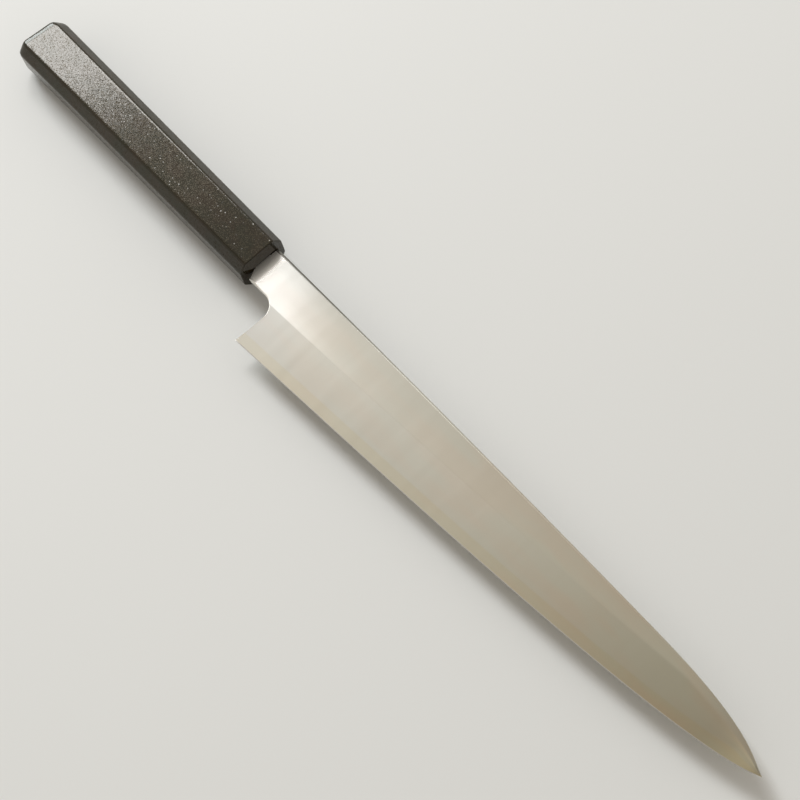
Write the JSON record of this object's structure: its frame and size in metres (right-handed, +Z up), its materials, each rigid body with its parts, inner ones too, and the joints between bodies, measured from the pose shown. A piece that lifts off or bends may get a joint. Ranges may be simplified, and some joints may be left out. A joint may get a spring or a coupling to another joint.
{
  "type": "sujihiki knife",
  "caption": "Long, narrow double-bevel slicing knife with a rounded choil and a lacquered octagonal handle that widens to its butt.",
  "frame": {"origin": "middle of the footprint, on the surface that the knife lies on", "axes": "+X from the butt to the tip, +Y from the edge to the spine, +Z up, out of the right side of the blade"},
  "size_m": [0.4368, 0.0418, 0.0194],
  "materials": {
    "blade_steel": "satin-ground bevels under a finer polished flat",
    "handle_lacquer": "silver-flake lacquer over wood",
    "ferrule_lacquer": "silver-flake lacquer over horn",
    "dowel_wood": "bare hardwood, hidden inside the handle"
  },
  "bodies": {
    "root": {"blade": "blade_steel", "handle_body": "handle_lacquer", "ferrule": "ferrule_lacquer", "tang_dowel": "dowel_wood"}
  },
  "joints": []
}
